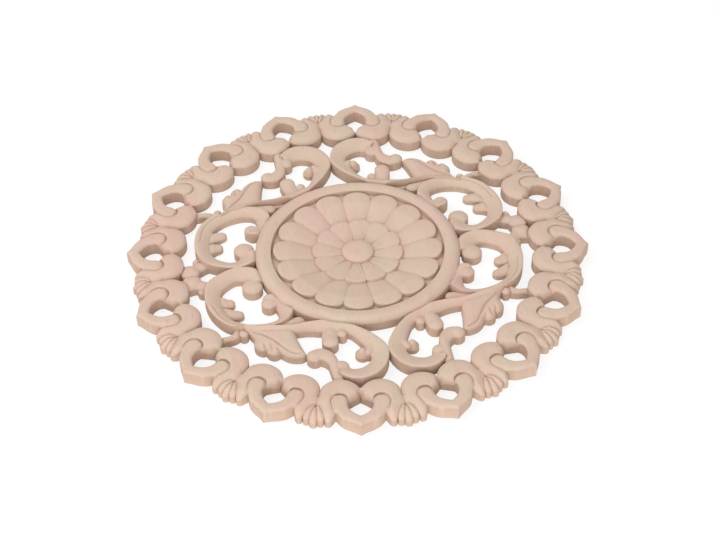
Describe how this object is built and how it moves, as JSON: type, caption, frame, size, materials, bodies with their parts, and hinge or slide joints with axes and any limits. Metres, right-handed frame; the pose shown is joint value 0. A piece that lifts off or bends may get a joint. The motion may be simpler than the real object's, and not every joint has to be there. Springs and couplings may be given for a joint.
{
  "type": "carved wood onlay",
  "caption": "Round flat-backed openwork onlay of carved bare wood: a flower in a raised ring, scrollwork with acanthus leaves, and an edge of hearts with fluted fans.",
  "frame": {"origin": "centre of the flat back, under the middle of the flower", "axes": "+Z out of the carved face, +Y and +X along the two axes about which the scrollwork is mirrored, the larger scrolls beside +Y"},
  "size_m": [0.2942, 0.2942, 0.01],
  "materials": {
    "bare_wood": "bare, sanded, unvarnished"
  },
  "bodies": {
    "root": {"carved_onlay": "bare_wood"}
  },
  "joints": []
}
